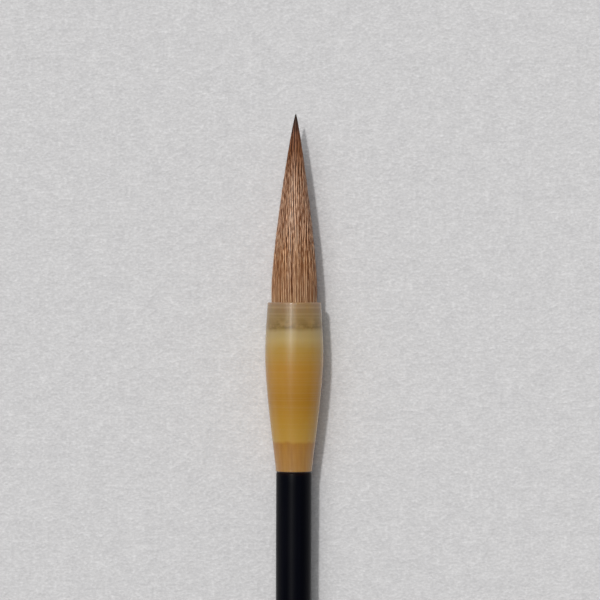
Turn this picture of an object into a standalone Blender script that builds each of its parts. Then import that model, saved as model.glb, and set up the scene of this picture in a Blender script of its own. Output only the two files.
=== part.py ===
"""A round calligraphy brush that lies along +Y, tip forward, with its collar on the ground plane.

Every part is turned about the brush's axis, so each one is a half outline of (radius, station)
points. A station is a distance along the axis from the collar's mouth, positive towards the tip.

The hair flexes. In front of the mouth it is cut into short stiff lengths that meet in ball-shaped
joints: the domed front of one length sits in the hollow rear of the next, and both surfaces are
centred on the hinge between them, so they slide over each other and never meet.
"""

from math import asin, cos, hypot, pi, radians, sin

import bmesh
import bpy
import numpy as np
from mathutils import Vector
from mathutils.geometry import interpolate_bezier

# Driving dimensions, in metres.
GAP = 0.0003  # left between parts that touch on the real brush

COLLAR_LENGTH = 0.0427
COLLAR_BELLY_RADIUS = 0.00738
COLLAR_BELLY_DEPTH = 0.0130  # behind the mouth
MOUTH_RADIUS = 0.0066
LIP_ROUND = 0.0003
SOCKET_RADIUS = 0.00605
SOCKET_DEPTH = 0.0113
SOCKET_FLOOR_RADIUS = 0.0032
SOCKET_FLOOR_TAPER = 0.0012

HANDLE_RADIUS = 0.0045
HANDLE_LENGTH = 0.155
HANDLE_EDGE_ROUND = 0.00025
DOWEL_HOLE_RADIUS = 0.0030  # in the handle, the collar and the cap
TENON_IN_COLLAR = 0.0081
TENON_IN_HANDLE = 0.0120
PLUG_IN_HANDLE = 0.0120
PLUG_IN_CAP = 0.0070
DOWEL_CHAMFER = 0.0004

CAP_LENGTH = 0.0170
CAP_BULGE_RADIUS = 0.0052
CAP_END_RADIUS = 0.0033
CAP_NECK_RADIUS = 0.0041
LOOP_HOLE_RADIUS = 0.0012

TUFT_LENGTH = 0.0474  # in front of the mouth
TUFT_RADIUS = 0.0058
ROOT_DEPTH = 0.0054  # of the hair behind the mouth
ROOT_RADIUS = SOCKET_RADIUS - GAP
THREAD_GROOVE_RADIUS = 0.00485
THREAD_GROOVE_START = 0.0010  # behind the mouth
THREAD_RADIUS = 0.00025
THREAD_TURNS = 5
THREAD_PITCH = 0.00062
SEAL_THICKNESS = 0.0010
SEAL_ROUND = 0.0003

CORE_RADIUS = 0.0015  # of the long hairs along the axis, at the collar
CORE_TIP_RADIUS = 0.0006  # and where the coat hairs end
WAIST_RADIUS = 0.0034  # of the short stiffening hairs round them, at the collar
BELLY_END_RADIUS = 0.0026  # and where those hairs end
COAT_END = 0.0405  # station where the coat hairs end and the long hairs form the point

# Each joint's hinge, and the rim where the hair in front of it begins, as stations.
BELLY_JOINT = (0.0065, 0.0131)
THROAT_JOINT = (0.0195, 0.0245)
TIP_JOINT = (0.0330, 0.0360)

ROUND_SEGMENTS = 40
HAIR_SEGMENTS = 32
HIDDEN_SEGMENTS = 24

# Positions worked out from the dimensions.
AXIS_HEIGHT = COLLAR_BELLY_RADIUS
HANDLE_FRONT = -COLLAR_LENGTH - GAP
HANDLE_REAR = HANDLE_FRONT - HANDLE_LENGTH
CAP_FRONT = HANDLE_REAR - GAP
CAP_REAR = CAP_FRONT - CAP_LENGTH
MOUTH_Y = -(TUFT_LENGTH + CAP_REAR) / 2  # centres the brush on the origin


def clear_scene():
    for thing in list(bpy.data.objects):
        bpy.data.objects.remove(thing, do_unlink=True)


def new_collection(name):
    collection = bpy.data.collections.new(name)
    bpy.context.scene.collection.children.link(collection)
    return collection


def new_material(name, color, roughness, metallic=0.0):
    material = bpy.data.materials.new(name)
    material.use_nodes = True
    shader = material.node_tree.nodes["Principled BSDF"]
    shader.inputs["Base Color"].default_value = (*color, 1.0)
    shader.inputs["Roughness"].default_value = roughness
    shader.inputs["Metallic"].default_value = metallic
    material.diffuse_color = (*color, 1.0)
    return material


def new_empty(name, parent, station):
    """An empty on the brush's axis. Its own Z is the axis, pointing to the tip."""
    empty = bpy.data.objects.new(name, None)
    empty.empty_display_size = 0.01
    empty.parent = parent
    empty.location.z = station
    BRUSH.objects.link(empty)
    return empty


def turned(name, outline, material, parent=None, origin=0.0, segments=ROUND_SEGMENTS):
    """A solid turned from an outline, whose stations are counted from the mouth.

    The outline runs from the front to the rear down its outer side. One that starts and ends on
    the axis is left open there. Any other goes round a hole, and is closed.
    """
    mesh = bpy.data.meshes.new(name)
    drawing = bmesh.new()
    corners = [drawing.verts.new((r, 0.0, station - origin)) for r, station in outline]
    pairs = list(zip(corners, corners[1:]))
    if outline[0][0] > 0:
        pairs.append((corners[-1], corners[0]))
    for pair in pairs:
        drawing.edges.new(pair)
    drawing.to_mesh(mesh)
    drawing.free()
    solid = bpy.data.objects.new(name, mesh)
    BRUSH.objects.link(solid)
    screw = solid.modifiers.new("turn", "SCREW")
    screw.axis = "Z"
    screw.angle = 2 * pi
    screw.steps = segments
    screw.render_steps = segments
    screw.use_merge_vertices = True
    screw.merge_threshold = 0.00001
    apply_modifiers(solid)
    solid.data.materials.append(material)
    solid.parent = parent or AXIS
    return solid


def apply_modifiers(solid):
    """Replaces the outline by the turned mesh, smooth over its curves and sharp at its corners."""
    bpy.context.view_layer.update()
    evaluated = solid.evaluated_get(bpy.context.evaluated_depsgraph_get())
    mesh = bpy.data.meshes.new_from_object(evaluated)
    mesh.name = solid.name
    solid.modifiers.clear()
    solid.data = mesh
    mesh.shade_smooth()
    mesh.set_sharp_from_angle(angle=radians(35))


def smooth_line(start, start_pull, end_pull, end, points):
    """Points along one Bezier curve, each given as (radius, station)."""
    bends = [Vector((r, 0.0, station)) for r, station in (start, start_pull, end_pull, end)]
    return [(p.x, p.z) for p in interpolate_bezier(*bends, points)]


def rounded_corner(centre, radius, first_degrees, last_degrees, points=3):
    """Points round an arc. Zero degrees points away from the axis, and 90 towards the tip."""
    angles = np.radians(np.linspace(first_degrees, last_degrees, points))
    return [(centre[0] + radius * cos(a), centre[1] + radius * sin(a)) for a in angles]


def rod(radius, front, rear, edge=DOWEL_CHAMFER):
    """Outline of a plain round rod with chamfered ends."""
    return [
        (0.0, front),
        (radius - edge, front),
        (radius, front - edge),
        (radius, rear + edge),
        (radius - edge, rear),
        (0.0, rear),
    ]


def build_collar():
    lip_centre = (MOUTH_RADIUS - LIP_ROUND, -LIP_ROUND)
    front_side = smooth_line(
        (MOUTH_RADIUS, -LIP_ROUND),
        (MOUTH_RADIUS + 0.00022, -0.0040),
        (COLLAR_BELLY_RADIUS, -0.0085),
        (COLLAR_BELLY_RADIUS, -COLLAR_BELLY_DEPTH),
        7,
    )
    rear_side = smooth_line(
        (COLLAR_BELLY_RADIUS, -COLLAR_BELLY_DEPTH),
        (COLLAR_BELLY_RADIUS, -COLLAR_BELLY_DEPTH - 0.0099),
        (HANDLE_RADIUS, -COLLAR_LENGTH + 0.0024),
        (HANDLE_RADIUS, -COLLAR_LENGTH),
        12,
    )
    hole_end = -COLLAR_LENGTH + TENON_IN_COLLAR + GAP
    outline = [
        (0.0, -SOCKET_DEPTH),
        (SOCKET_FLOOR_RADIUS, -SOCKET_DEPTH),
        (SOCKET_RADIUS, -SOCKET_DEPTH + SOCKET_FLOOR_TAPER),
        (SOCKET_RADIUS, -LIP_ROUND),
        (SOCKET_RADIUS + 0.0001, 0.0),
        *rounded_corner(lip_centre, LIP_ROUND, 90, 0)[:-1],
        *front_side[:-1],
        *rear_side,
        (DOWEL_HOLE_RADIUS, -COLLAR_LENGTH),
        (DOWEL_HOLE_RADIUS, hole_end),
        (0.0, hole_end),
    ]
    turned("collar", outline, RESIN)


def build_glue_bed():
    """The hardened resin between the root of the hair and the floor of the socket."""
    front = -ROOT_DEPTH - SEAL_THICKNESS - 2 * GAP
    outline = [
        (0.0, front),
        (ROOT_RADIUS, front),
        (ROOT_RADIUS, -SOCKET_DEPTH + SOCKET_FLOOR_TAPER + GAP),
        (SOCKET_FLOOR_RADIUS - GAP, -SOCKET_DEPTH + GAP),
        (0.0, -SOCKET_DEPTH + GAP),
    ]
    turned("glue_bed", outline, GLUE, segments=HAIR_SEGMENTS)


def build_root_seal():
    """The disc of melted rosin that closes the seared root."""
    front = -ROOT_DEPTH - GAP
    rear = front - SEAL_THICKNESS
    outline = rod(ROOT_RADIUS, front, rear, SEAL_ROUND)
    turned("root_seal", outline, ROSIN, segments=HAIR_SEGMENTS)


def build_root_thread():
    """The turns of hemp thread that bind the root, wound in its groove."""
    winding_radius = THREAD_GROOVE_RADIUS + GAP + THREAD_RADIUS
    first = -THREAD_GROOVE_START - GAP - 2 * THREAD_RADIUS
    steps_per_turn = 16
    count = THREAD_TURNS * steps_per_turn + 1
    curve = bpy.data.curves.new("root_thread", "CURVE")
    curve.dimensions = "3D"
    curve.bevel_depth = THREAD_RADIUS
    curve.bevel_resolution = 1
    curve.use_fill_caps = True
    curve.materials.append(THREAD)
    spline = curve.splines.new("POLY")
    spline.points.add(count - 1)
    for step, point in enumerate(spline.points):
        turn = step / steps_per_turn
        x = winding_radius * cos(2 * pi * turn)
        y = winding_radius * sin(2 * pi * turn)
        point.co = (x, y, first - THREAD_PITCH * turn, 1.0)
    spline.use_smooth = True
    thread = bpy.data.objects.new("root_thread", curve)
    BRUSH.objects.link(thread)
    thread.parent = AXIS


def build_handle():
    edge = HANDLE_EDGE_ROUND
    front_corner = (HANDLE_RADIUS - edge, HANDLE_FRONT - edge)
    rear_corner = (HANDLE_RADIUS - edge, HANDLE_REAR + edge)
    outline = [
        (DOWEL_HOLE_RADIUS, HANDLE_FRONT),
        *rounded_corner(front_corner, edge, 90, 0),
        *rounded_corner(rear_corner, edge, 0, -90),
        (DOWEL_HOLE_RADIUS, HANDLE_REAR),
    ]
    turned("handle_tube", outline, LACQUER)
    dowel_radius = DOWEL_HOLE_RADIUS - GAP
    tenon_front = -COLLAR_LENGTH + TENON_IN_COLLAR
    tenon = rod(dowel_radius, tenon_front, HANDLE_FRONT - TENON_IN_HANDLE)
    turned("front_tenon", tenon, WOOD, segments=HIDDEN_SEGMENTS)
    plug = rod(dowel_radius, HANDLE_REAR + PLUG_IN_HANDLE, CAP_FRONT - PLUG_IN_CAP)
    turned("tail_plug", plug, WOOD, segments=HIDDEN_SEGMENTS)


def build_tail_cap():
    """The bead-shaped cap. The hole for a hanging loop runs from its flat end to the plug."""
    neck = CAP_FRONT - 0.0016
    bulge = CAP_FRONT - 0.0085
    hole_end = CAP_FRONT - PLUG_IN_CAP - GAP
    front_side = smooth_line(
        (CAP_NECK_RADIUS, neck),
        (CAP_NECK_RADIUS + 0.0004, neck - 0.0020),
        (CAP_BULGE_RADIUS, bulge + 0.0030),
        (CAP_BULGE_RADIUS, bulge),
        6,
    )
    rear_side = smooth_line(
        (CAP_BULGE_RADIUS, bulge),
        (CAP_BULGE_RADIUS, bulge - 0.0045),
        (CAP_END_RADIUS + 0.0010, CAP_REAR + 0.0004),
        (CAP_END_RADIUS, CAP_REAR),
        8,
    )
    outline = [
        (DOWEL_HOLE_RADIUS, CAP_FRONT),
        (HANDLE_RADIUS - 0.0002, CAP_FRONT),
        (HANDLE_RADIUS, CAP_FRONT - 0.0002),
        (HANDLE_RADIUS, neck + 0.0006),
        *front_side[:-1],
        *rear_side,
        (LOOP_HOLE_RADIUS, CAP_REAR),
        (LOOP_HOLE_RADIUS, hole_end),
        (DOWEL_HOLE_RADIUS, hole_end),
    ]
    turned("tail_cap", outline, RESIN, segments=HAIR_SEGMENTS)


def tuft_radius(station):
    """Radius of the exposed hair: full at the collar, then drawn in to a long point."""
    low, high = 0.0, 1.0
    for _ in range(30):
        share = (low + high) / 2
        if tuft_curve(share)[1] < station:
            low = share
        else:
            high = share
    return tuft_curve(share)[0]


def tuft_curve(share):
    """The (radius, station) point at a share of the way along the Bezier outline of the hair."""
    bends = np.array(
        [
            (TUFT_RADIUS, 0.0),
            (1.125 * TUFT_RADIUS, 0.205 * TUFT_LENGTH),
            (0.11 * TUFT_RADIUS, TUFT_LENGTH),
            (0.0, TUFT_LENGTH),
        ]
    )
    rest = 1 - share
    weights = (rest**3, 3 * rest**2 * share, 3 * rest * share**2, share**3)
    return tuple(weights @ bends)


def coat_radius(station):
    """Outside of the hair, with the groove that its binding thread pulls into the root."""
    if station > GAP:
        return tuft_radius(station)
    groove = -THREAD_GROOVE_START
    return np.interp(station, (groove - GAP, groove), (THREAD_GROOVE_RADIUS, ROOT_RADIUS))


def core_radius(station):
    """Outside of the long hairs that run from the root to the point."""
    return np.interp(station, (BELLY_JOINT[1], COAT_END), (CORE_RADIUS, CORE_TIP_RADIUS))


def waist_radius(station):
    """Outside of the shorter hairs that stiffen the tuft."""
    ends = (BELLY_JOINT[1], THROAT_JOINT[1])
    return np.interp(station, ends, (WAIST_RADIUS, BELLY_END_RADIUS))


def outside(radius_at):
    """The inside of the layer that lies round radius_at."""
    return lambda station: radius_at(station) + GAP


def flat_end(station):
    return station, 0.0


def dome(joint):
    """The front end of the hair behind a joint: a ball centred on the hinge."""
    hinge, rim = joint
    return hinge, hypot(rim - hinge, tuft_radius(rim))


def hollow(joint):
    """The rear end of the hair in front of a joint."""
    hinge, ball = dome(joint)
    return hinge, ball + GAP


def edge_station(end, radius_at):
    """Station at which a layer's side, radius_at(station), meets its end."""
    centre, ball = end
    if not ball:
        return centre
    low, high = centre, centre + ball
    for _ in range(40):
        middle = (low + high) / 2
        if hypot(middle - centre, radius_at(middle)) < ball:
            low = middle
        else:
            high = middle
    return low


def end_points(end, first_radius, last_radius, points=5):
    """Points across an end between two radii."""
    centre, ball = end
    if not ball:
        return [(first_radius, centre), (last_radius, centre)]
    angles = np.linspace(asin(first_radius / ball), asin(last_radius / ball), points)
    return [(ball * sin(a), centre + ball * cos(a)) for a in angles]


def hair_layer(outer, inner, front, rear, rings=2, corners=()):
    """Outline of one layer of hair between two ends. A layer with no inner side is solid."""
    stations = list(np.linspace(edge_station(front, outer), edge_station(rear, outer), rings))
    stations = sorted([*stations, *corners], reverse=True)
    side = [(float(outer(station)), station) for station in stations]
    inner_front, inner_rear = 0.0, 0.0
    if inner:
        inner_front = float(inner(edge_station(front, inner)))
        inner_rear = float(inner(edge_station(rear, inner)))
    front_points = end_points(front, inner_front, side[0][0])[:-1]
    rear_points = end_points(rear, side[-1][0], inner_rear)[1:]
    return front_points + side + rear_points


def build_root_hair():
    """The hair that the collar holds, with the first stretch in front of it, which stays still."""
    front, rear = dome(BELLY_JOINT), flat_end(-ROOT_DEPTH)
    groove = -THREAD_GROOVE_START
    mouth_corners = (0.0090, 0.0050, 0.0015, GAP, 0.0, groove, groove - GAP)
    coat = hair_layer(coat_radius, outside(waist_radius), front, rear, corners=mouth_corners)
    waist = hair_layer(waist_radius, outside(core_radius), front, rear)
    core = hair_layer(core_radius, None, front, rear)
    turned("root_coat_hair", coat, COAT_HAIR, segments=HAIR_SEGMENTS)
    turned("root_waist_hair", waist, INNER_HAIR, segments=HIDDEN_SEGMENTS)
    turned("root_core_hair", core, CORE_HAIR, segments=HIDDEN_SEGMENTS)


def build_belly_hair(hinge):
    front, rear = dome(THROAT_JOINT), hollow(BELLY_JOINT)
    origin = BELLY_JOINT[0]
    coat = hair_layer(coat_radius, outside(waist_radius), front, rear, rings=6)
    waist = hair_layer(waist_radius, outside(core_radius), front, rear)
    core = hair_layer(core_radius, None, front, rear)
    turned("belly_coat_hair", coat, COAT_HAIR, hinge, origin, HAIR_SEGMENTS)
    turned("belly_waist_hair", waist, INNER_HAIR, hinge, origin, HIDDEN_SEGMENTS)
    turned("belly_core_hair", core, CORE_HAIR, hinge, origin, HIDDEN_SEGMENTS)


def build_throat_hair(hinge):
    front, rear = dome(TIP_JOINT), hollow(THROAT_JOINT)
    origin = THROAT_JOINT[0]
    coat = hair_layer(coat_radius, outside(core_radius), front, rear, rings=5)
    core = hair_layer(core_radius, None, front, rear)
    turned("throat_coat_hair", coat, COAT_HAIR, hinge, origin, HAIR_SEGMENTS)
    turned("throat_core_hair", core, CORE_HAIR, hinge, origin, HIDDEN_SEGMENTS)


def build_tip_hair(hinge):
    """The coat hairs end first, and the long hairs swell in front of them to form the point."""
    rear = hollow(TIP_JOINT)
    origin = TIP_JOINT[0]
    coat = hair_layer(coat_radius, outside(core_radius), flat_end(COAT_END), rear, rings=4)
    shoulder = COAT_END + GAP
    swell = [(tuft_radius(s), s) for s in np.linspace(TUFT_LENGTH, shoulder, 7)[1:]]
    neck = hair_layer(core_radius, None, flat_end(shoulder), rear)[1:]
    core = [(0.0, TUFT_LENGTH), *swell, *neck]
    turned("tip_coat_hair", coat, COAT_HAIR, hinge, origin, HAIR_SEGMENTS)
    turned("tip_core_hair", core, CORE_HAIR, hinge, origin, HIDDEN_SEGMENTS)


clear_scene()
BRUSH = new_collection("calligraphy_brush")
RESIN = new_material("amber_resin", (0.36, 0.17, 0.04), 0.22)
LACQUER = new_material("black_lacquer", (0.004, 0.004, 0.007), 0.18)
COAT_HAIR = new_material("coat_hair", (0.28, 0.15, 0.08), 0.55)
INNER_HAIR = new_material("inner_hair", (0.42, 0.27, 0.16), 0.6)
CORE_HAIR = new_material("core_hair", (0.13, 0.06, 0.03), 0.5)
GLUE = new_material("clear_glue", (0.45, 0.33, 0.13), 0.3)
ROSIN = new_material("dark_rosin", (0.16, 0.11, 0.03), 0.45)
THREAD = new_material("hemp_thread", (0.5, 0.4, 0.25), 0.85)
WOOD = new_material("bare_wood", (0.4, 0.24, 0.1), 0.7)

AXIS = new_empty("brush_axis", None, 0.0)
AXIS.location = (0.0, MOUTH_Y, AXIS_HEIGHT)
AXIS.rotation_euler.x = radians(-90)
BELLY_HINGE = new_empty("belly_hinge", AXIS, BELLY_JOINT[0])
THROAT_HINGE = new_empty("throat_hinge", BELLY_HINGE, THROAT_JOINT[0] - BELLY_JOINT[0])
TIP_HINGE = new_empty("tip_hinge", THROAT_HINGE, TIP_JOINT[0] - THROAT_JOINT[0])

build_collar()
build_glue_bed()
build_root_seal()
build_root_thread()
build_handle()
build_tail_cap()
build_root_hair()
build_belly_hair(BELLY_HINGE)
build_throat_hair(THROAT_HINGE)
build_tip_hair(TIP_HINGE)
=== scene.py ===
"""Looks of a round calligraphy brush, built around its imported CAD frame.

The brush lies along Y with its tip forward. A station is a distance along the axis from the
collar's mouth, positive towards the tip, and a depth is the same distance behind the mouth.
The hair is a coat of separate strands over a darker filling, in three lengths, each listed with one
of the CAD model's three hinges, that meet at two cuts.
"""

from math import atan, cos, hypot, pi, radians, sin

import bmesh
import bpy
import numpy as np
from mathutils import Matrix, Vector
from mathutils.geometry import interpolate_bezier


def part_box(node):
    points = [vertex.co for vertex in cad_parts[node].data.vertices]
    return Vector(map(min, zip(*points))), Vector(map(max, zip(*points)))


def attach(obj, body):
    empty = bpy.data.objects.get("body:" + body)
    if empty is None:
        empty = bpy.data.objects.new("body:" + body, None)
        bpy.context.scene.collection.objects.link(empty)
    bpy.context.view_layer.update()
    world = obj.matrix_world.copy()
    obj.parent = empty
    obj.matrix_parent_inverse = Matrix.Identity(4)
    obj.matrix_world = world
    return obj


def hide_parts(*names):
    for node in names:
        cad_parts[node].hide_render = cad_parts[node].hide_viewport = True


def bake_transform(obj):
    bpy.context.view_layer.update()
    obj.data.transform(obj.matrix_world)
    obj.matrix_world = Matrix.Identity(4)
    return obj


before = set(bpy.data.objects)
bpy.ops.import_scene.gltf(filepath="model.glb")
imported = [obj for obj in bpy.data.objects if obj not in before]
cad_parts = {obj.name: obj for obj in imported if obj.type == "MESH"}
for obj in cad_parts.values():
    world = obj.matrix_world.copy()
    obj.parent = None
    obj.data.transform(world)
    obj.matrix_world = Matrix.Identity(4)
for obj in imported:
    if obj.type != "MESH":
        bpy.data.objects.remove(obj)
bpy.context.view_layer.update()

# ---------------------------------------------------------------- sizes taken from the frame

COLLAR_LOW, COLLAR_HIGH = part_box("collar")
HANDLE_LOW, HANDLE_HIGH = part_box("handle_tube")
CAP_LOW, CAP_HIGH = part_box("tail_cap")
PLUG_REAR_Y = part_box("tail_plug")[0].y
TENON_FRONT_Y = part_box("front_tenon")[1].y

MOUTH_Y = COLLAR_HIGH.y
COLLAR_LENGTH = COLLAR_HIGH.y - COLLAR_LOW.y
COLLAR_RADIUS = (COLLAR_HIGH.x - COLLAR_LOW.x) / 2
AXIS_Z = (COLLAR_HIGH.z + COLLAR_LOW.z) / 2
HANDLE_RADIUS = (HANDLE_HIGH.x - HANDLE_LOW.x) / 2
CAP_RADIUS = (CAP_HIGH.x - CAP_LOW.x) / 2
WISP = 0.0003  # how far the finest hairs reach past the CAD model's point
TUFT_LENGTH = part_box("tip_core_hair")[1].y - MOUTH_Y + WISP
ROOT_DEPTH = MOUTH_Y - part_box("root_coat_hair")[0].y

# ------------------------------------------------------------------- sizes of the fine shapes

GAP = 0.0003  # the clearance that the CAD model keeps between touching parts
MOUTH_RADIUS = 0.0068
MOUTH_HOLE_RADIUS = 0.00588
LIP_ROUND = 0.0003
INNER_LIP_ROUND = 0.00018
SOCKET_RADIUS = 0.00605
SOCKET_DEPTH = 0.0113
SOCKET_FLOOR_RADIUS = 0.0032
COLLAR_BELLY_DEPTH = 0.0130
COLLAR_STEP = 0.00012  # how far the collar's rear end stands out from the handle
DOWEL_HOLE_RADIUS = 0.0030
LOOP_HOLE_RADIUS = 0.0012
CAP_BELLY_DEPTH = 0.0085  # behind the front end of the tail cap
CAP_NECK_DEPTH = 0.0016
CAP_NECK_RADIUS = 0.0041
CAP_END_RADIUS = 0.0033
CAP_BEAD = 0.00045  # radius of the small bead round the cap's front end

TUFT_RADIUS = 0.0058
TIP_LEAN = 0.00025  # how far the point of the hair leans to +X
BELLY_CUT = 0.0130  # stations where one length of hair hands over to the next
THROAT_CUT = 0.0260
HAIR_SEED = 41


def station_y(station):
    return MOUTH_Y + station


def clear_startup_objects():
    for name in ("Cube", "Light", "Camera"):
        if name in bpy.data.objects:
            bpy.data.objects.remove(bpy.data.objects[name], do_unlink=True)


# -------------------------------------------------------------------------------- mesh helpers


def smooth_line(start, start_pull, end_pull, end, points):
    """Points along one Bezier curve, each given as (radius, y)."""
    bends = [Vector((r, 0.0, y)) for r, y in (start, start_pull, end_pull, end)]
    return [(p.x, p.z) for p in interpolate_bezier(*bends, points)]


def rounded_corner(centre, radius, first_degrees, last_degrees, points=7):
    """Points round an arc. Zero degrees points away from the axis, and 90 towards the tip."""
    angles = np.radians(np.linspace(first_degrees, last_degrees, points))
    return [(centre[0] + radius * cos(a), centre[1] + radius * sin(a)) for a in angles]


def turned(name, outline, segments=112, ring=False, shape=None):
    """A mesh turned about the brush's axis from (radius, y) points.

    A ring closes on itself round a hole. shape(radius, y, angle) may return another radius.
    """
    drawing = bmesh.new()
    rows = []
    for radius, y in outline:
        if radius < 1e-7:
            rows.append([drawing.verts.new((0.0, y, AXIS_Z))])
            continue
        row = []
        for step in range(segments):
            angle = 2 * pi * step / segments
            r = shape(radius, y, angle) if shape else radius
            row.append(drawing.verts.new((r * sin(angle), y, AXIS_Z + r * cos(angle))))
        rows.append(row)
    pairs = list(zip(rows, rows[1:]))
    if ring:
        pairs.append((rows[-1], rows[0]))
    for upper, lower in pairs:
        for step in range(segments):
            after = (step + 1) % segments
            corners = [upper[step % len(upper)], upper[after % len(upper)]]
            corners += [lower[after % len(lower)], lower[step % len(lower)]]
            drawing.faces.new(list(dict.fromkeys(corners)))
    bmesh.ops.recalc_face_normals(drawing, faces=drawing.faces[:])
    mesh = bpy.data.meshes.new(name)
    drawing.to_mesh(mesh)
    drawing.free()
    mesh.shade_smooth()
    mesh.set_sharp_from_angle(angle=radians(38))
    solid = bpy.data.objects.new(name, mesh)
    bpy.context.scene.collection.objects.link(solid)
    return solid


# ---------------------------------------------------------------------------- material helpers


def srgb(red, green, blue):
    """A colour given as 0 to 255 display values, in the renderer's linear values."""
    scaled = [value / 255 for value in (red, green, blue)]
    return [v / 12.92 if v <= 0.04045 else ((v + 0.055) / 1.055) ** 2.4 for v in scaled]


def lit(red, green, blue, gain=1.3):
    """The surface colour that looks like a display colour under this scene's light."""
    return (*[min(0.95, v * gain) for v in srgb(red, green, blue)], 1.0)


class Look:
    """A material as it is put together: one Principled shader and the nodes that feed it."""

    def __init__(self, name, **values):
        self.material = bpy.data.materials.new(name)
        self.material.use_nodes = True
        self.tree = self.material.node_tree
        self.shader = self.tree.nodes["Principled BSDF"]
        for socket, value in values.items():
            self.shader.inputs[socket.replace("_", " ")].default_value = value

    def add(self, kind, *inputs, **settings):
        """A node of this kind. Inputs fill its sockets in order: a socket, a value or None."""
        made = self.tree.nodes.new("ShaderNode" + kind)
        for setting, value in settings.items():
            setattr(made, setting, value)
        for socket, value in zip(made.inputs, inputs):
            self.feed(socket, value)
        return made

    def feed(self, socket, value):
        if isinstance(value, bpy.types.NodeSocket):
            self.tree.links.new(value, socket)
        elif value is not None:
            socket.default_value = value

    def place(self):
        """The point on the object, in the row frame."""
        return self.add("TexCoord").outputs["Object"]

    def parts(self, vector):
        return self.add("SeparateXYZ", vector).outputs

    def attribute(self, name, output="Fac"):
        """What the mesh holds under this name at the point."""
        return self.add("Attribute", attribute_name=name).outputs[output]

    def math(self, operation, a, b=None):
        return self.add("Math", a, b, operation=operation).outputs[0]

    def total(self, first, *others):
        """The sum of sockets or values."""
        for other in others:
            first = self.math("ADD", first, other)
        return first

    def about(self, value, middle, gain):
        """gain times how far the value is above the middle."""
        return self.math("MULTIPLY", self.math("SUBTRACT", value, middle), gain)

    def spread(self, value, low, high):
        """value mapped so that low gives 0 and high gives 1."""
        return self.add("MapRange", value, low, high, 0.0, 1.0).outputs[0]

    def stretched(self, vector, scale):
        made = self.add("Mapping", vector)
        made.inputs["Scale"].default_value = scale
        return made.outputs[0]

    def noise(self, vector, scale, detail=2.0, roughness=0.5, distortion=0.0):
        made = self.add("TexNoise", vector)
        for socket, value in (
            ("Scale", scale),
            ("Detail", detail),
            ("Roughness", roughness),
            ("Distortion", distortion),
        ):
            made.inputs[socket].default_value = value
        return made.outputs[0]

    def ramp(self, factor, stops):
        """Colours or greys along a factor, from (place, colour or grey) stops."""
        made = self.add("ValToRGB", factor)
        elements = made.color_ramp.elements
        while len(elements) < len(stops):
            elements.new(0.5)
        for element, (at, _) in zip(elements, stops):
            element.position = at
        for element, (_, color) in zip(elements, stops):
            element.color = color if hasattr(color, "__len__") else (color, color, color, 1.0)
        return made.outputs[0]

    def mix(self, factor, a, b, blend="MIX"):
        made = self.add("Mix", data_type="RGBA", blend_type=blend)
        sockets = [made.inputs[0], made.inputs[6], made.inputs[7]]
        for socket, value in zip(sockets, (factor, a, b)):
            self.feed(socket, value)
        return made.outputs[2]

    def bump(self, height, strength, distance, under=None):
        made = self.add("Bump")
        made.inputs["Strength"].default_value = strength
        made.inputs["Distance"].default_value = distance
        self.tree.links.new(height, made.inputs["Height"])
        if under:
            self.tree.links.new(under, made.inputs["Normal"])
        return made.outputs[0]

    def set(self, **sockets):
        for socket, value in sockets.items():
            self.feed(self.shader.inputs[socket.replace("_", " ")], value)
        return self.material


# ----------------------------------------------------------------------------------- materials


def turned_sheen(look):
    """Gloss drawn out along the axis, as fine polishing marks round a turned part do."""
    tangent = look.add("Tangent", direction_type="RADIAL", axis="Y")
    look.feed(look.shader.inputs["Tangent"], tangent.outputs[0])


def polished_resin(name, roughness):
    """Resin that light enters a little, turned and polished."""
    look = Look(
        name,
        Roughness=roughness,
        Specular_IOR_Level=0.3,
        Anisotropic=0.8,
        Anisotropic_Rotation=0.25,
        Subsurface_Weight=0.4,
        Subsurface_Radius=(1.0, 0.55, 0.2),
        Subsurface_Scale=0.0014,
        Coat_Weight=0.4,
        Coat_Roughness=0.38,
    )
    turned_sheen(look)
    return look


def polishing_marks(look, place):
    """The normal of a surface with fine marks round the axis."""
    marks = look.noise(look.stretched(place, (30.0, 5200.0, 30.0)), 1.0, detail=2.0)
    return look.bump(marks, 0.25, 0.00002)


# The collar's colour at depths in millimetres: over the hair's root, its olive seal, pale glue,
# clear amber, and from 35 mm on the tenon of the handle.
COLLAR_BANDS = (
    (0.0, (135, 111, 88)),
    (1.6, (126, 102, 74)),
    (3.6, (125, 104, 67)),
    (5.6, (139, 115, 74)),
    (6.6, (126, 104, 58)),
    (7.6, (154, 135, 91)),
    (9.6, (163, 141, 90)),
    (12.0, (157, 125, 54)),
    (17.0, (158, 113, 29)),
    (24.0, (152, 106, 15)),
    (29.0, (160, 119, 36)),
    (34.9, (165, 129, 51)),
    (35.6, (151, 103, 32)),
    (42.2, (154, 115, 64)),
)


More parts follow.
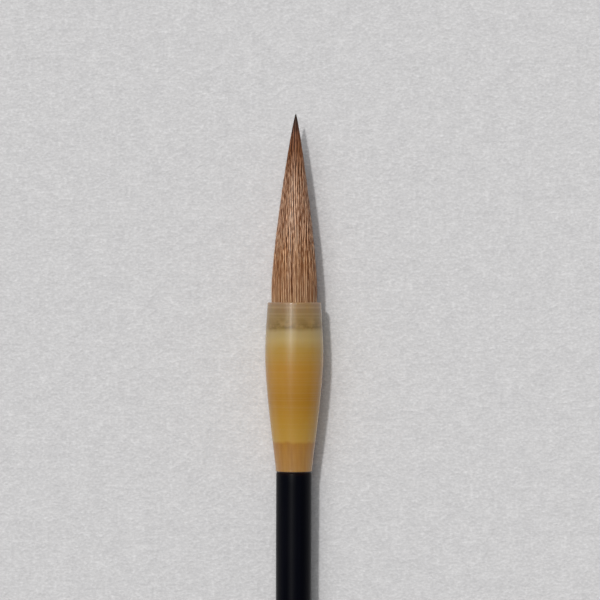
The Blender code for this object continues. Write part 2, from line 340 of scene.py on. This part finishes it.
def make_collar_resin():
    """Amber resin over the tuft's root, its glue and the end of the handle's tenon.

    What the ramps say runs along the collar, from 0 at its mouth to 1 at its rear end.
    """
    look = polished_resin("collar_resin", roughness=0.21)
    place = look.place()
    depth = look.spread(look.parts(place)[1], MOUTH_Y, COLLAR_LOW.y)
    waves = look.noise(look.stretched(place, (260.0, 60.0, 260.0)), 1.0, detail=3.0)
    depth = look.total(depth, look.about(waves, 0.5, 0.05))
    bands = [(mm / 1000 / COLLAR_LENGTH, lit(*color)) for mm, color in COLLAR_BANDS]
    color = look.ramp(depth, bands)

    blotches = look.noise(look.stretched(place, (420.0, 500.0, 420.0)), 1.0, detail=4.0)
    over_seal = look.ramp(depth, [(0.085, 0.0), (0.130, 0.8), (0.150, 1.0), (0.162, 0.0)])
    dark = look.math("MULTIPLY", look.ramp(blotches, [(0.40, 0.0), (0.56, 1.0)]), over_seal)
    color = look.mix(look.math("MULTIPLY", dark, 0.85), color, lit(96, 76, 36))

    rings = look.noise(look.stretched(place, (20.0, 2300.0, 20.0)), 1.0, detail=1.0)
    strong_at_mouth = look.ramp(
        depth,
        [(0.015, 0.0), (0.03, 1.0), (0.06, 1.0), (0.10, 0.2), (0.60, 0.28), (0.80, 0.12)],
    )
    lines = look.math("MULTIPLY", look.ramp(rings, [(0.5, 0.0), (0.6, 0.32)]), strong_at_mouth)
    color = look.mix(lines, color, lit(170, 146, 112))

    grain = look.noise(look.stretched(place, (1500.0, 60.0, 1500.0)), 1.0, detail=2.0)
    over_tenon = look.ramp(depth, [(0.82, 0.0), (0.84, 1.0)])
    streaks = look.math("MULTIPLY", look.ramp(grain, [(0.35, 0.0), (0.7, 0.6)]), over_tenon)
    color = look.mix(streaks, color, lit(133, 88, 40))
    clouds = look.noise(look.stretched(place, (150.0, 50.0, 150.0)), 1.0, detail=2.0)
    color = look.mix(look.ramp(clouds, [(0.3, 0.0), (0.75, 0.3)]), color, lit(176, 138, 78))
    return look.set(Base_Color=color, Normal=polishing_marks(look, place))


def make_cap_resin():
    """The same resin, with nothing that shows through it."""
    look = polished_resin("cap_resin", roughness=0.25)
    place = look.place()
    clouds = look.noise(look.stretched(place, (190.0, 110.0, 190.0)), 1.0, detail=3.0)
    stops = [(0.3, lit(156, 110, 48)), (0.5, lit(163, 121, 56)), (0.75, lit(176, 142, 84))]
    return look.set(Base_Color=look.ramp(clouds, stops), Normal=polishing_marks(look, place))


def make_lacquer():
    """Black lacquer that follows the bamboo's fibres, worn brown at its front edge."""
    look = Look(
        "black_lacquer",
        Specular_IOR_Level=0.06,
        Anisotropic=0.5,
        Anisotropic_Rotation=0.25,
    )
    place = look.place()
    along = look.parts(place)[1]
    fibres = look.noise(look.stretched(place, (900.0, 14.0, 900.0)), 1.0, detail=3.0)
    dark, pale = (0.0012, 0.0014, 0.0032, 1.0), (0.0026, 0.0029, 0.0058, 1.0)
    color = look.ramp(fibres, [(0.3, dark), (0.7, pale)])
    behind = look.spread(along, COLLAR_LOW.y, COLLAR_LOW.y - 0.0012)
    worn = look.ramp(behind, [(0.0, 0.9), (0.55, 0.5), (1.0, 0.0)])
    color = look.mix(worn, color, (0.008, 0.0030, 0.0030, 1.0))
    patches = look.noise(look.stretched(place, (120.0, 70.0, 120.0)), 1.0, detail=3.0)
    roughness = look.ramp(patches, [(0.3, 0.27), (0.7, 0.37)])
    swell = look.noise(look.stretched(place, (330.0, 22.0, 330.0)), 1.0, detail=2.0)
    normal = look.bump(fibres, 0.12, 0.00002, look.bump(swell, 0.25, 0.00006))
    turned_sheen(look)
    return look.set(Base_Color=color, Roughness=roughness, Normal=normal)


def make_joint_line():
    """The thin line of glue that shows between the collar and the handle."""
    look = Look("joint_glue", Roughness=0.45)
    beads = look.noise(look.stretched(look.place(), (900.0, 900.0, 900.0)), 1.0)
    color = look.ramp(beads, [(0.35, lit(22, 12, 11)), (0.65, lit(36, 20, 16))])
    return look.set(Base_Color=color, Normal=look.bump(beads, 0.3, 0.00004))


# These four run along the exposed hair, from 0 at the collar to 1 at the point.
HAIR_BASE = (
    (0.00, (140, 107, 77)),
    (0.06, (134, 98, 69)),
    (0.21, (130, 91, 61)),
    (0.42, (126, 89, 64)),
    (0.63, (119, 83, 59)),
    (0.80, (90, 51, 27)),
    (0.90, (76, 42, 26)),
    (0.96, (40, 24, 18)),
    (1.00, (22, 14, 12)),
)
# HAIR_CONTRAST scales how far tone, streaks and flecks swing; where it is high, more strands reach
# the pale end of the shades, which paints glints.
HAIR_CONTRAST = ((0.0, 0.65), (0.2, 0.8), (0.34, 1.2), (0.55, 1.3), (0.8, 1.5), (1.0, 0.5))
HAIR_GLOSS = ((0.0, 0.42), (0.2, 0.33), (0.62, 0.33), (0.85, 0.6))
# The flecks are dark and pale dashes; the pale ones are painted glints.
GLINT_FLECK_SHARE = ((0.08, 0.35), (0.30, 1.0))

# From the darkest streak to the palest: deep red brown, the hair's own colour, then whitish tones
# that are painted glints.
HAIR_TONES_AND_GLINTS = (
    (0.0, (0.16, 0.06, 0.02, 1)),
    (0.25, (0.42, 0.26, 0.15, 1)),
    (0.5, (0.86, 0.78, 0.69, 1)),
    (0.75, (1.50, 1.65, 1.85, 1)),
    (1.0, (2.6, 3.5, 4.6, 1)),
)
STREAK_PITCH = 0.0005  # distance from one dark streak to the next, round the tuft
STREAK_WANDER = 13.0  # how far streaks stray sideways, in radians of their pattern
# The last amount sets the flecks: dark dashes and painted glints.
TONE_AMOUNT, STREAK_AMOUNT, GLINT_FLECK_AMOUNT = 0.60, 0.42, 0.90


def hair_streaks(look, place):
    """Dark and pale streaks along the tuft, as evenly spaced at the point as at the collar."""
    x, _, z = look.parts(place)[:3]
    above = look.math("SUBTRACT", z, AXIS_Z)
    squares = [look.math("MULTIPLY", side, side) for side in (x, above)]
    away = look.math("SQRT", look.total(*squares))
    arc = look.math("MULTIPLY", look.math("ARCTAN2", x, above), away)
    wander = look.noise(look.stretched(place, (700.0, 75.0, 700.0)), 1.0, detail=1.0)
    turns = look.math("MULTIPLY", arc, 2 * pi / STREAK_PITCH)
    return look.math("SINE", look.total(turns, look.math("MULTIPLY", wander, STREAK_WANDER)))


def make_hair():
    """Strand colour from the place along the tuft, each strand's own tone, fine streaks and flecks,
    whose palest values are painted glints.
    """
    look = Look(
        "tuft_hair",
        Specular_IOR_Level=0.32,
        Specular_Tint=(1.0, 0.86, 0.72, 1.0),
    )
    station = look.attribute("hair_station")
    place = look.attribute("unbent_place", "Vector")
    tone = look.about(look.attribute("hair_tone"), 0.5, TONE_AMOUNT)
    streaks = look.math("MULTIPLY", hair_streaks(look, place), STREAK_AMOUNT)
    # Fine flecks along the strands: dark dashes and painted glints.
    noise = look.noise(look.stretched(place, (4500.0, 520.0, 4500.0)), 1.0, detail=0.0)
    glint_fleck_amount = look.math("MULTIPLY", look.ramp(station, GLINT_FLECK_SHARE), GLINT_FLECK_AMOUNT)
    level = look.total(tone, streaks, look.about(noise, 0.5, glint_fleck_amount))
    level = look.math("MULTIPLY", level, look.ramp(station, HAIR_CONTRAST))
    # The pale end of this ramp paints glints onto the strands.
    shade = look.ramp(look.total(level, 0.5), HAIR_TONES_AND_GLINTS)
    base = look.ramp(station, [(at, lit(*color, gain=1.5)) for at, color in HAIR_BASE])
    color = look.mix(1.0, base, shade, "MULTIPLY")
    return look.set(Base_Color=color, Roughness=look.ramp(station, HAIR_GLOSS))


def make_hair_filling():
    """The hair below the outer strands, in a darker copy of the strands' colour that paints the
    shade between them.
    """
    look = Look("tuft_filling", Roughness=0.6)
    station = look.attribute("hair_station")
    # The lower gain paints the shade that falls between the strands.
    base = look.ramp(station, [(at, lit(*color, gain=0.6)) for at, color in HAIR_BASE])
    place = look.attribute("unbent_place", "Vector")
    streaks = look.noise(look.stretched(place, (3400.0, 60.0, 3400.0)), 1.0, detail=3.0)
    color = look.mix(1.0, base, look.ramp(streaks, [(0.3, 0.45), (0.7, 1.2)]), "MULTIPLY")
    return look.set(Base_Color=color, Normal=look.bump(streaks, 0.6, 0.0001))


def make_thread():
    look = Look("hemp_thread", Roughness=0.85)
    twist = look.noise(look.stretched(look.place(), (2500.0, 1200.0, 2500.0)), 1.0, detail=3.0)
    color = look.ramp(twist, [(0.3, lit(150, 128, 92)), (0.7, lit(200, 182, 146))])
    return look.set(Base_Color=color, Normal=look.bump(twist, 0.6, 0.0001))


def make_wood():
    look = Look("bare_wood", Roughness=0.7)
    grain = look.noise(look.stretched(look.place(), (1300.0, 70.0, 1300.0)), 1.0, detail=4.0)
    color = look.ramp(grain, [(0.3, lit(142, 104, 62)), (0.7, lit(190, 152, 104))])
    return look.set(Base_Color=color, Normal=look.bump(grain, 0.4, 0.0001))


def make_glue():
    look = Look("pale_glue", Roughness=0.35, Subsurface_Weight=0.3, Subsurface_Scale=0.001)
    clouds = look.noise(look.stretched(look.place(), (300.0, 300.0, 300.0)), 1.0, detail=3.0)
    color = look.ramp(clouds, [(0.3, lit(170, 146, 92)), (0.7, lit(196, 176, 124))])
    return look.set(Base_Color=color, Normal=look.bump(clouds, 0.3, 0.0001))


def make_rosin():
    look = Look("dark_rosin", Roughness=0.5)
    clouds = look.noise(look.stretched(look.place(), (500.0, 500.0, 500.0)), 1.0, detail=4.0)
    color = look.ramp(clouds, [(0.3, lit(84, 64, 34)), (0.7, lit(132, 108, 62))])
    return look.set(Base_Color=color, Normal=look.bump(clouds, 0.5, 0.0001))


def make_floor():
    """Pale felt-like paper, a little longer in the grain across the brush.

    It darkens far out, where the floor curves up into a wall.
    """
    look = Look("pale_paper", Roughness=0.9, Specular_IOR_Level=0.15)
    place = look.place()
    lying = look.stretched(place, (0.68, 1.0, 1.0))
    tooth = look.noise(lying, 1900.0, detail=2.0, roughness=0.6)
    fibres = look.noise(lying, 820.0, detail=1.5, roughness=0.6, distortion=0.25)
    clouds = look.noise(place, 210.0, detail=2.0)
    color = look.ramp(clouds, [(0.3, (0.731, 0.729, 0.744, 1)), (0.7, (0.779, 0.777, 0.791, 1))])
    grain = look.ramp(fibres, [(0.3, 0.935), (0.52, 0.973), (0.72, 1.04)])
    color = look.mix(1.0, color, grain, "MULTIPLY")
    speckle = look.ramp(tooth, [(0.3, 0.89), (0.52, 0.963), (0.72, 1.10)])
    color = look.mix(1.0, color, speckle, "MULTIPLY")
    radius = look.add("VectorMath", place, operation="LENGTH").outputs["Value"]
    towards_wall = look.ramp(look.spread(radius, 1.2, 3.0), [(0.0, 1.0), (1.0, 0.45)])
    color = look.mix(1.0, color, towards_wall, "MULTIPLY")
    normal = look.bump(tooth, 0.6, 0.00016, look.bump(fibres, 0.6, 0.00032))
    return look.set(Base_Color=color, Normal=normal)


# ----------------------------------------------------------------------- collar, handle and cap


def build_collar(material):
    """The bulged collar, with a socket for the hair in front and a hole for the tenon behind."""
    mouth, rear = MOUTH_Y, COLLAR_LOW.y
    belly = mouth - COLLAR_BELLY_DEPTH
    rear_radius = HANDLE_RADIUS + COLLAR_STEP
    hole_end = TENON_FRONT_Y + GAP
    socket_end = mouth - SOCKET_DEPTH
    bevel = 0.0012  # at both ends of the socket's wall
    lip_centre = (MOUTH_RADIUS - LIP_ROUND, mouth - LIP_ROUND)
    inner_centre = (MOUTH_HOLE_RADIUS + INNER_LIP_ROUND, mouth - INNER_LIP_ROUND)
    front_side = smooth_line(
        (MOUTH_RADIUS, mouth - LIP_ROUND),
        (MOUTH_RADIUS + 0.00020, mouth - 0.0040),
        (COLLAR_RADIUS, belly + 0.0045),
        (COLLAR_RADIUS, belly),
        28,
    )
    rear_side = smooth_line(
        (COLLAR_RADIUS, belly),
        (COLLAR_RADIUS, belly - 0.0099),
        (rear_radius, rear + 0.0024),
        (rear_radius, rear + COLLAR_STEP),
        48,
    )
    outline = [
        (0.0, socket_end),
        (SOCKET_FLOOR_RADIUS, socket_end),
        (SOCKET_RADIUS, socket_end + bevel),
        (SOCKET_RADIUS, mouth - bevel),
        (MOUTH_HOLE_RADIUS, mouth - 0.0008),
        *rounded_corner(inner_centre, INNER_LIP_ROUND, 180, 90, 5),
        *rounded_corner(lip_centre, LIP_ROUND, 90, 0)[:-1],
        *front_side[:-1],
        *rear_side,
        (HANDLE_RADIUS, rear),
        (DOWEL_HOLE_RADIUS, rear),
        (DOWEL_HOLE_RADIUS, hole_end),
        (0.0, hole_end),
    ]
    collar = turned("collar_shell", outline)
    collar.data.materials.append(material)
    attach(collar, "handle")
    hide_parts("collar")


def build_joint_line(material):
    """Glue that fills the gap between the collar's rear end and the handle."""
    gap = 0.00002  # between the glue and the faces beside it
    front, rear = COLLAR_LOW.y - gap, HANDLE_HIGH.y + gap
    edge_radius, middle_radius = HANDLE_RADIUS - 0.00012, HANDLE_RADIUS - 0.00006
    outline = [
        (DOWEL_HOLE_RADIUS, front),
        (edge_radius, front),
        (middle_radius, (front + rear) / 2),
        (edge_radius, rear),
        (DOWEL_HOLE_RADIUS, rear),
    ]
    line = turned("joint_line", outline, ring=True)
    line.data.materials.append(material)
    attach(line, "handle")


def bamboo_radius(radius, y, angle):
    """The slight waves of a scraped bamboo tube under its lacquer. Its bore is left round."""
    if radius < HANDLE_RADIUS * 0.9:
        return radius
    wave = sin(2 * angle + 55 * y) + 0.6 * sin(5 * angle - 83 * y + 1.3) + sin(130 * y + 0.4)
    wave_height = 0.000004
    return radius - wave_height * (3 + wave)  # 3 keeps it all inside the tube's radius


def build_handle(material):
    """The lacquered tube, from the joint line to the tail cap."""
    edge = 0.0003  # radius of the rounded edges
    front, rear = HANDLE_HIGH.y, HANDLE_LOW.y
    side = np.linspace(front - edge, rear + edge, 60)[1:-1]
    outline = [
        (DOWEL_HOLE_RADIUS, front),
        *rounded_corner((HANDLE_RADIUS - edge, front - edge), edge, 90, 0),
        *[(HANDLE_RADIUS, y) for y in side],
        *rounded_corner((HANDLE_RADIUS - edge, rear + edge), edge, 0, -90),
        (DOWEL_HOLE_RADIUS, rear),
    ]
    tube = turned("lacquered_tube", outline, ring=True, shape=bamboo_radius)
    tube.data.materials.append(material)
    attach(tube, "handle")
    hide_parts("handle_tube")


def build_tail_cap(material):
    """The tail cap with its front bead, its hole for the plug and the narrow hole for a loop."""
    front, rear = CAP_HIGH.y, CAP_LOW.y
    neck, belly = front - CAP_NECK_DEPTH, front - CAP_BELLY_DEPTH
    hole_end = PLUG_REAR_Y - GAP
    hole_bevel = 0.0002
    bead_centre = (HANDLE_RADIUS - CAP_BEAD, front - 0.00062)
    front_side = smooth_line(
        (CAP_NECK_RADIUS, neck),
        (CAP_NECK_RADIUS + 0.0004, neck - 0.0020),
        (CAP_RADIUS, belly + 0.0030),
        (CAP_RADIUS, belly),
        24,
    )
    rear_side = smooth_line(
        (CAP_RADIUS, belly),
        (CAP_RADIUS, belly - 0.0045),
        (CAP_END_RADIUS + 0.0010, rear + 0.0004),
        (CAP_END_RADIUS, rear),
        30,
    )
    outline = [
        (DOWEL_HOLE_RADIUS, front),
        *rounded_corner(bead_centre, CAP_BEAD, 80, -60),
        *front_side[:-1],
        *rear_side,
        (LOOP_HOLE_RADIUS + hole_bevel, rear),
        (LOOP_HOLE_RADIUS, rear + hole_bevel),
        (LOOP_HOLE_RADIUS, hole_end),
        (DOWEL_HOLE_RADIUS, hole_end),
    ]
    cap = turned("tail_bead", outline, ring=True)
    cap.data.materials.append(material)
    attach(cap, "handle")
    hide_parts("tail_cap")


# ----------------------------------------------------------------------------------- the hair


def tuft_profile(points=400):
    """Stations and radii along the Bezier outline of the exposed hair."""
    swell, bluntness = 1.125, 0.11
    bends = np.array(
        [
            (TUFT_RADIUS, 0.0),
            (swell * TUFT_RADIUS, 0.205 * TUFT_LENGTH),
            (bluntness * TUFT_RADIUS, TUFT_LENGTH),
            (0.0, TUFT_LENGTH),
        ]
    )
    t = np.linspace(0, 1, points)[:, None]
    weights = ((1 - t) ** 3, 3 * (1 - t) ** 2 * t, 3 * (1 - t) * t**2, t**3)
    curve = sum(weight * bend for weight, bend in zip(weights, bends))
    return curve[:, 1], curve[:, 0]


PROFILE_STATIONS, PROFILE_RADII = tuft_profile()


def tuft_radius(station):
    return np.interp(station, PROFILE_STATIONS, PROFILE_RADII)


def lean(station):
    """How far the tuft's middle is off the axis, towards +X."""
    return TIP_LEAN * np.clip(station / TUFT_LENGTH, 0, 1) ** 2


def add_attribute(mesh, name, values):
    attribute = mesh.attributes.new(name, "FLOAT", "POINT")
    attribute.data.foreach_set("value", np.asarray(values, np.float32).ravel())


def add_station(mesh, stations):
    """Keeps each point's place along the exposed hair, from 0 at the collar to 1 at the point."""
    add_attribute(mesh, "hair_station", np.clip(stations / TUFT_LENGTH, 0, 1))


def add_unbent_place(mesh, points):
    """Keeps where each point of the hair is at rest, so that its pattern bends along with it."""
    attribute = mesh.attributes.new("unbent_place", "FLOAT_VECTOR", "POINT")
    attribute.data.foreach_set("vector", np.asarray(points, np.float32).ravel())


class Strands:
    """What every strand of the tuft looks like, drawn once and shared by the three lengths."""

    COUNT = 1700
    LOCKS = 72
    SIDES = 4
    TURN_STEP = 0.61803398875  # of a full turn from strand to strand, so that no rows form
    LONG_SHARE = 0.45  # share of the strands that reach the point, as the rest end sooner
    FULL_WIDTH_LEFT = 0.009  # a strand narrows over its last 9 mm
    HELD = 0.004  # strands lie straight at the collar and are free after 4 mm
    CROWDED_RADIUS = 0.0035  # below this the tuft is so thin that its strands stray less
    DEPTH = 0.10  # share of the tuft's radius over which the strands lie
    THICKNESS = 0.38  # a strand's thickness for its width, as a flat side faces outwards
    SHORTEST = 0.0003  # a strand that ends this soon after a cut is left out in front of it

    def __init__(self):
        draw = np.random.default_rng(HAIR_SEED)
        count = self.COUNT
        self.azimuth = 2 * pi * (np.arange(count) * self.TURN_STEP % 1)
        self.azimuth += draw.normal(0, 0.02, count)
        self.layer = draw.random(count)  # 0 is outermost
        is_long = draw.random(count) < self.LONG_SHARE
        long_ends = 1 - 0.10 * draw.random(count) ** 3
        short_ends = 0.42 + 0.52 * draw.random(count)
        self.end = TUFT_LENGTH * np.where(is_long, long_ends, short_ends)
        lock_tones = draw.normal(0, 0.03, self.LOCKS)
        lock = np.floor(self.azimuth / (2 * pi) * self.LOCKS).astype(int) % self.LOCKS
        self.lock_centre = (lock + 0.5) * 2 * pi / self.LOCKS
        self.pull = draw.random(count) * 0.5
        self.tone = np.clip(0.52 + lock_tones[lock] + draw.normal(0, 0.21, count), 0, 1)
        self.width = draw.uniform(0.00011, 0.00019, count)
        self.roll = draw.normal(0, 0.20, count)
        self.sway = self.waves(draw, (0.00003, 0.00008), (0.006, 0.016), 2)
        self.lift = self.waves(draw, (0.00001, 0.00004), (0.0022, 0.0060), 2)
        self.drift = draw.normal(0, 0.045, count)

    def waves(self, draw, sizes, lengths, layers):
        """Random waves for each strand, as (size, length, phase) layers."""
        shape = (layers, self.COUNT)
        return draw.uniform(*sizes, shape), draw.uniform(*lengths, shape), draw.uniform(0, 7, shape)

    @staticmethod
    def waved(waves, which, station):
        """How far these waves move the chosen strands at their stations."""
        return sum(
            size[which, None] * np.sin(2 * pi * station / length[which, None] + phase[which, None])
            for size, length, phase in zip(*waves)
        )

    def centres(self, which, station):
        """Angle round the tuft, distance from its axis and width of each strand, as arrays."""
        share = np.clip(station / TUFT_LENGTH, 0, 1)
        radius = tuft_radius(np.maximum(station, 0))
        end, layer = self.end[which, None], self.layer[which, None]
        left = np.clip((end - station) / self.FULL_WIDTH_LEFT, 0, 1)
        width = self.width[which, None] * (0.5 + 0.5 * left**0.7) * (1 - 0.35 * share)
        roomy = np.clip(radius / self.CROWDED_RADIUS, 0, 1)
        free = np.clip(station / self.HELD, 0, 1) * roomy
        lift = self.waved(self.lift, which, station) * free
        dive = 0.10 * (1 - left) ** 2 * (end < 0.93 * TUFT_LENGTH)  # short ends tuck in
        inset = 0.00004 * roomy + self.DEPTH * layer * radius
        away = radius * (1 - dive) - 0.5 * width * self.THICKNESS - inset + lift
        away = np.maximum(away, 0.0)
        gather = self.pull[which, None] * share**1.3
        angle = self.azimuth[which, None] * (1 - gather) + self.lock_centre[which, None] * gather
        sway = self.waved(self.sway, which, station) * free
        angle = angle + self.drift[which, None] * share + sway / np.maximum(radius, 0.0008)
        return angle, away, width

    def ring_points(self, which, station):
        """The corners of each strand's cross-section at each station."""
        angle, away, width = self.centres(which, station)
        out_x, out_z = np.sin(angle), np.cos(angle)
        centre_x = away * out_x + lean(station)
        centre_z = away * out_z + AXIS_Z
        corners = (np.arange(self.SIDES) - 0.5) * 2 * pi / self.SIDES
        half = 0.5 * hypot(1, 1) * width[..., None]
        roll = self.roll[which, None, None]
        outward = half * self.THICKNESS * np.cos(corners)
        around = half * np.sin(corners)
        outward, around = (
            outward * np.cos(roll) - around * np.sin(roll),
            outward * np.sin(roll) + around * np.cos(roll),
        )
        x = centre_x[..., None] + outward * out_x[..., None] + around * out_z[..., None]
        z = centre_z[..., None] + outward * out_z[..., None] - around * out_x[..., None]
        y = np.broadcast_to(station_y(station)[..., None], x.shape)
        return np.stack([x, y, z], axis=-1).reshape(-1, 3)

    def tube_faces(self, count, rows):
        """Faces of that many closed tubes, whose corners follow each other row by row."""
        sides = self.SIDES
        start = np.arange(count)[:, None, None] * rows * sides
        row = np.arange(rows - 1)[None, :, None] * sides
        side = np.arange(sides)[None, None, :]
        a, b = start + row + side, start + row + (side + 1) % sides
        walls = np.stack([a, b, b + sides, a + sides], axis=-1).reshape(-1, 4)
        front_caps = start[:, 0] + (rows - 1) * sides + np.arange(sides)[None, :]
        rear_caps = start[:, 0] + np.arange(sides)[None, ::-1]
        return np.vstack([walls, front_caps, rear_caps])

    def sharpen(self, mesh, rows):
        """Makes the edges along every strand and round its ends sharp."""
        ends = np.empty(len(mesh.edges) * 2, np.int32)
        mesh.edges.foreach_get("vertices", ends)
        low, high = np.sort(ends.reshape(-1, 2), axis=1).T
        at_end = np.isin(low // self.SIDES % rows, (0, rows - 1))
        sharp = (high - low == self.SIDES) | at_end & (high - low < self.SIDES)
        mesh.attributes.new("sharp_edge", "BOOLEAN", "EDGE").data.foreach_set("value", sharp)

    def mesh(self, name, first, last, rows):
        """The stretch of every strand between two stations, as closed thin tubes."""
        which = np.nonzero(self.end > first + self.SHORTEST)[0]
        stop = np.minimum(self.end[which], last)[:, None]
        station = first + (stop - first) * np.linspace(0, 1, rows)[None, :]
        points = self.ring_points(which, station)
        mesh = bpy.data.meshes.new(name)
        mesh.from_pydata(points, [], self.tube_faces(len(which), rows))
        mesh.shade_smooth()
        self.sharpen(mesh, rows)
        add_station(mesh, np.repeat(station.ravel(), self.SIDES))
        add_attribute(mesh, "hair_tone", np.repeat(self.tone[which], rows * self.SIDES))
        add_unbent_place(mesh, points)
        strands = bpy.data.objects.new(name, mesh)
        bpy.context.scene.collection.objects.link(strands)
        return strands


def filling(name, outline):
    """A turned core of hair below the strands, which follows the tuft's lean."""
    core = turned(name, [(r, station_y(s)) for r, s in outline], segments=72)
    points = np.empty(len(core.data.vertices) * 3, np.float32)
    core.data.vertices.foreach_get("co", points)
    points = points.reshape(-1, 3)
    stations = points[:, 1] - MOUTH_Y
    points[:, 0] += lean(stations)
    core.data.vertices.foreach_set("co", points.ravel())
    add_station(core.data, stations)
    add_unbent_place(core.data, points)
    return core


def fill_side(first, last, rings):
    """(radius, station) points just inside the tuft's outline, from front to rear."""
    share = 0.93  # of the tuft's radius
    stations = np.linspace(last, first, rings)
    return [(float(share * tuft_radius(s)), float(s)) for s in stations]


def bend(piece, joint_name):
    """Bakes the piece's transform into its mesh."""
    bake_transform(piece)


def root_outline():
    """(radius, station) points of the first filling, from its front down into the socket."""
    root_radius = 0.97 * (SOCKET_RADIUS - GAP)
    groove_radius, groove = 0.00485, -0.0010  # the groove that the binding thread lies in
    return [
        *fill_side(0.0003, BELLY_CUT, 16),
        (root_radius, 0.0),
        (root_radius, groove),
        (groove_radius, groove - GAP),
        (groove_radius, -ROOT_DEPTH),
    ]


def build_tuft(strand_look, filling_look):
    """Three lengths of hair, each with its strands and its filling, and each listed with one hinge.
    """
    hair = Strands()
    held_from = -0.0007  # the strands start this far inside the collar
    lengths = (
        ("waist", "belly_bend", held_from, BELLY_CUT, 22),
        ("belly", "throat_bend", BELLY_CUT, THROAT_CUT, 22),
        ("point", "tip_bend", THROAT_CUT, TUFT_LENGTH, 28),
    )
    filling_sides = {
        "waist": root_outline(),
        "belly": fill_side(BELLY_CUT, THROAT_CUT, 18),
        "point": fill_side(THROAT_CUT, 0.985 * TUFT_LENGTH, 18),
    }
    replaced = {
        "waist": ("root_coat_hair", "root_waist_hair", "root_core_hair"),
        "belly": ("belly_coat_hair", "belly_waist_hair", "belly_core_hair"),
        "point": ("throat_coat_hair", "throat_core_hair", "tip_coat_hair", "tip_core_hair"),
    }
    for name, joint, first, last, rows in lengths:
        strands = hair.mesh(f"{name}_strands", first, last, rows)
        strands.data.materials.append(strand_look)
        side = filling_sides[name]
        core = filling(f"{name}_filling", [(0.0, side[0][1]), *side, (0.0, side[-1][1])])
        core.data.materials.append(filling_look)
        for piece in (strands, core):
            bend(piece, joint)
        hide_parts(*replaced[name])


# ------------------------------------------------------------------- floor, light and camera


def resting_plane():
    """Slope and height at the origin of the plane that the collar and the tail cap lie on."""
    collar_y, collar_z = MOUTH_Y - COLLAR_BELLY_DEPTH, AXIS_Z - COLLAR_RADIUS
    cap_y, cap_z = CAP_HIGH.y - CAP_BELLY_DEPTH, AXIS_Z - CAP_RADIUS
    slope = (collar_z - cap_z) / (collar_y - cap_y)
    return slope, collar_z - slope * collar_y


def build_floor(material):
    """A pale floor that curves up into a low wall all round, tilted to touch collar and cap."""
    slope, height = resting_plane()
    flat, curve, steepest, wall = 1.5, 1.2, radians(35), 1.6
    outline = [(0.0, 0.0), (0.25, 0.0), (0.8, 0.0), (flat, 0.0)]
    for angle in np.linspace(0, steepest, 13)[1:]:
        outline.append((flat + curve * sin(angle), curve * (1 - cos(angle))))
    edge_radius, edge_z = outline[-1]
    outline.append((edge_radius + wall * cos(steepest), edge_z + wall * sin(steepest)))
    drawing = bmesh.new()
    rows = []
    segments = 96
    for radius, z in outline:
        steps = 1 if radius == 0 else segments
        angles = [2 * pi * step / segments for step in range(steps)]
        rows.append([drawing.verts.new((radius * cos(a), radius * sin(a), z)) for a in angles])
    for inner, outer in zip(rows, rows[1:]):
        for step in range(segments):
            after = (step + 1) % segments
            corners = [inner[step % len(inner)], outer[step]]
            corners += [outer[after], inner[after % len(inner)]]
            drawing.faces.new(list(dict.fromkeys(corners)))
    mesh = bpy.data.meshes.new("floor")
    drawing.to_mesh(mesh)
    drawing.free()
    mesh.shade_smooth()
    mesh.materials.append(material)
    floor = bpy.data.objects.new("floor", mesh)
    floor.location = (0.0, 0.0, height)
    floor.rotation_euler.x = atan(slope)
    bpy.context.scene.collection.objects.link(floor)


def build_light():
    """A key light from the upper left, a wide glow round it, and an even sky."""
    towards_light = Vector((-0.265, 0.40, 1.0))
    for name, energy, degrees_wide in (("key", 1.25, 3.5), ("glow", 1.25, 50)):
        light = bpy.data.lights.new(name, "SUN")
        light.energy = energy
        light.angle = radians(degrees_wide)
        light.color = (1.0, 0.985, 0.965)
        lamp = bpy.data.objects.new(name, light)
        lamp.rotation_euler = towards_light.to_track_quat("Z", "Y").to_euler()
        bpy.context.scene.collection.objects.link(lamp)
    world = bpy.data.worlds.new("sky")
    world.use_nodes = True
    background = world.node_tree.nodes["Background"]
    background.inputs["Color"].default_value = (0.95, 0.98, 1.0, 1.0)
    background.inputs["Strength"].default_value = 0.14
    bpy.context.scene.world = world


def build_camera():
    """Straight above the collar's mouth, with the brush's tip at the top of the picture."""
    seen_width, lens, sensor = 0.1517, 200.0, 36.0
    beside_axis, before_mouth = 0.00143, 0.0006
    camera = bpy.data.cameras.new("camera")
    camera.lens = lens
    camera.sensor_width = sensor
    camera.clip_start = 0.01
    camera.clip_end = 20.0
    holder = bpy.data.objects.new("camera", camera)
    distance = seen_width * lens / sensor
    holder.location = (beside_axis, MOUTH_Y + before_mouth, AXIS_Z + distance)
    holder.rotation_euler.z = radians(0.15)
    bpy.context.scene.collection.objects.link(holder)
    bpy.context.scene.camera = holder
    bpy.context.scene.view_settings.view_transform = "Standard"


# ---------------------------------------------------------------------------------- the scene


def dress_hidden_pieces():
    """The CAD pieces that stay inside the collar, the handle and the cap."""
    looks = {
        "glue_bed": make_glue(),
        "root_seal": make_rosin(),
        "root_thread": make_thread(),
        "front_tenon": make_wood(),
        "tail_plug": make_wood(),
    }
    for node, material in looks.items():
        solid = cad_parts[node]
        solid.data.materials.clear()
        solid.data.materials.append(material)


clear_startup_objects()
build_camera()
build_light()
build_floor(make_floor())
build_collar(make_collar_resin())
build_joint_line(make_joint_line())
build_handle(make_lacquer())
build_tail_cap(make_cap_resin())
build_tuft(make_hair(), make_hair_filling())
dress_hidden_pieces()
